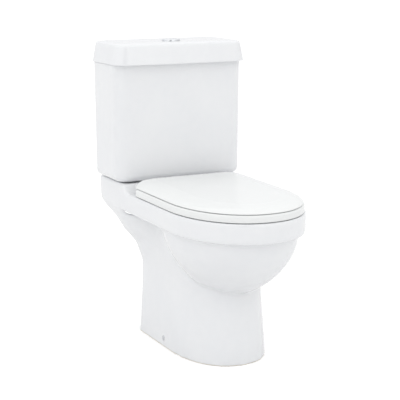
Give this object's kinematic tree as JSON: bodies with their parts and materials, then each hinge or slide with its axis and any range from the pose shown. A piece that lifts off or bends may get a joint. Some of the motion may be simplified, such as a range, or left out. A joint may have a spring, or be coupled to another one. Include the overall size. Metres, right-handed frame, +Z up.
{
  "type": "close coupled toilet",
  "caption": "White glazed close coupled toilet with an open-back pan, a dual flush cistern and lid, and a hinged D-shaped seat and cover.",
  "frame": {"origin": "on the floor, under the middle of the object's box", "axes": "+Z up, -Y is the front of the bowl, +Y is the wall behind the cistern, +X is the user's left hand when seated"},
  "size_m": [0.388, 0.6766, 0.7985],
  "materials": {
    "white_glazed_china": "glossy white glaze",
    "seat_plastic": "smooth glossy white thermoset",
    "valve_plastic": "moulded, slightly matt off-white",
    "float_plastic": "moulded blue",
    "bracket_plastic": "moulded nylon",
    "chrome": "bright plated",
    "stainless_steel": "turned",
    "black_rubber": "matt moulded",
    "clear_buffer": "pale soft buffer"
  },
  "bodies": {
    "root": {"pan": "white_glazed_china", "cistern_tank": "white_glazed_china", "flush_valve_base": "valve_plastic", "flush_valve_washer": "black_rubber", "flush_valve_backnut": "valve_plastic", "coupling_gasket": "black_rubber", "flush_valve_tower": "valve_plastic", "fill_valve_body": "valve_plastic", "fill_valve_washer": "black_rubber", "fill_valve_backnut": "valve_plastic", "fill_valve_head": "valve_plastic", "float_arm_pin": "stainless_steel", "coupling_seal_left": "black_rubber", "coupling_seal_right": "black_rubber", "coupling_bolt_left": "stainless_steel", "coupling_bolt_right": "stainless_steel", "coupling_washer_left": "black_rubber", "coupling_washer_right": "black_rubber", "coupling_wing_nut_left": "bracket_plastic", "coupling_wing_nut_right": "bracket_plastic", "hinge_pillar_left": "chrome", "hinge_pillar_right": "chrome", "hinge_cover_left": "chrome", "hinge_cover_right": "chrome", "hinge_pin_left": "stainless_steel", "hinge_pin_right": "stainless_steel", "hinge_washer_left": "black_rubber", "hinge_washer_right": "black_rubber", "hinge_wing_nut_left": "bracket_plastic", "hinge_wing_nut_right": "bracket_plastic", "screw_cap_left": "chrome", "screw_cap_right": "chrome", "side_screw_left": "stainless_steel", "side_screw_right": "stainless_steel", "floor_bracket_left": "bracket_plastic", "floor_bracket_right": "bracket_plastic"},
    "seat_ring": {"seat_ring": "seat_plastic", "ring_buffer_front_left": "clear_buffer", "ring_buffer_front_right": "clear_buffer", "ring_buffer_rear_left": "clear_buffer", "ring_buffer_rear_right": "clear_buffer"},
    "seat_lid": {"seat_lid": "seat_plastic", "lid_buffer_left": "clear_buffer", "lid_buffer_right": "clear_buffer"},
    "cistern_lid": {"cistern_lid": "white_glazed_china", "button_bezel": "chrome", "button_clamp_nut": "valve_plastic"},
    "full_flush_button": {"full_flush_button": "chrome", "full_flush_rod": "valve_plastic"},
    "half_flush_button": {"half_flush_button": "chrome", "half_flush_rod": "valve_plastic"},
    "flush_piston": {"overflow_tube": "valve_plastic", "flush_seal": "black_rubber"},
    "float_cup": {"float_cup": "float_plastic"},
    "float_arm": {"float_arm": "float_plastic"}
  },
  "joints": [
    {"name": "seat_hinge", "type": "hinge", "parent": "root", "child": "seat_ring", "pos_m": [0, 0.11225, 0.418], "axis": [1, 0, 0], "range_deg": [-91, 0]},
    {"name": "lid_hinge", "type": "hinge", "parent": "seat_ring", "child": "seat_lid", "pos_m": [0, 0.11225, 0.418], "axis": [-1, 0, 0], "range_deg": [0, 91]},
    {"name": "cistern_lid_lift", "type": "slide", "parent": "root", "child": "cistern_lid", "axis": [0, 0, 1], "range_m": [0, 0.15]},
    {"name": "full_flush_press", "type": "slide", "parent": "cistern_lid", "child": "full_flush_button", "axis": [0, 0, 1], "range_m": [-0.005, 0], "stiffness_N_per_m": 600},
    {"name": "half_flush_press", "type": "slide", "parent": "cistern_lid", "child": "half_flush_button", "axis": [0, 0, 1], "range_m": [-0.005, 0], "stiffness_N_per_m": 600},
    {"name": "flush_valve_lift", "type": "slide", "parent": "root", "child": "flush_piston", "axis": [0, 0, 1], "range_m": [0, 0.01]},
    {"name": "float_drop", "type": "slide", "parent": "root", "child": "float_cup", "axis": [0, 0, 1], "range_m": [-0.01, 0]},
    {"name": "float_arm_hinge", "type": "hinge", "parent": "root", "child": "float_arm", "pos_m": [0.113, 0.26425, 0.665], "axis": [1, 0, 0], "range_deg": [0, 17]}
  ],
  "couplings": [
    {"joint": "flush_valve_lift", "follows": "full_flush_press", "ratio": -2},
    {"joint": "float_arm_hinge", "follows": "float_drop", "rad_per_m": -29.41}
  ]
}
